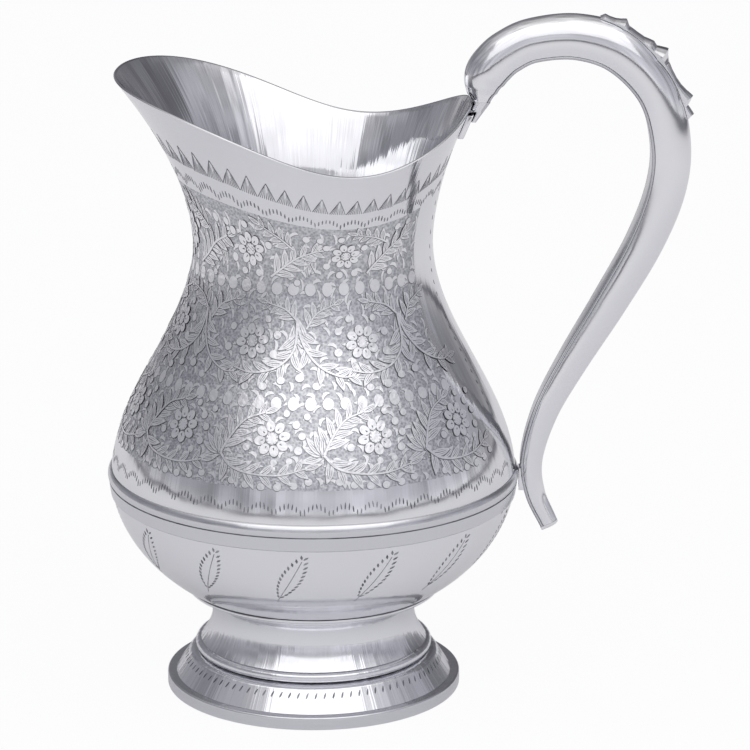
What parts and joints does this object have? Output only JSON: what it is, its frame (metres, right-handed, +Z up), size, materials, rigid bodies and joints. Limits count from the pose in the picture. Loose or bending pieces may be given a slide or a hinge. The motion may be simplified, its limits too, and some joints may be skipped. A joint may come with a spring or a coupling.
{
  "type": "ewer",
  "caption": "Silver ewer with an engraved pear-shaped body, swept pouring lip, girdle band, spool foot and hollow scroll handle with a thumbpiece, for pouring water or wine.",
  "frame": {"origin": "centre of the foot's base on the body axis, at table level", "axes": "+Z up along the body axis, +X towards the handle, -X towards the pouring lip"},
  "size_m": [0.2202, 0.1566, 0.2621],
  "materials": {
    "polished_silver": "polished",
    "engraved_silver": "satin"
  },
  "bodies": {
    "root": {"foot_ring": "polished_silver", "foot_skirt": "polished_silver", "foot_stem": "polished_silver", "foot_collar": "polished_silver", "lower_bowl": "polished_silver", "girdle_band": "polished_silver", "upper_body": "engraved_silver", "rim_pad": "polished_silver", "handle_end_plate": "polished_silver", "handle_shell": "polished_silver", "handle_strap": "polished_silver", "handle_tail_plate": "polished_silver", "lower_pad": "polished_silver", "thumbpiece": "polished_silver"}
  },
  "joints": []
}
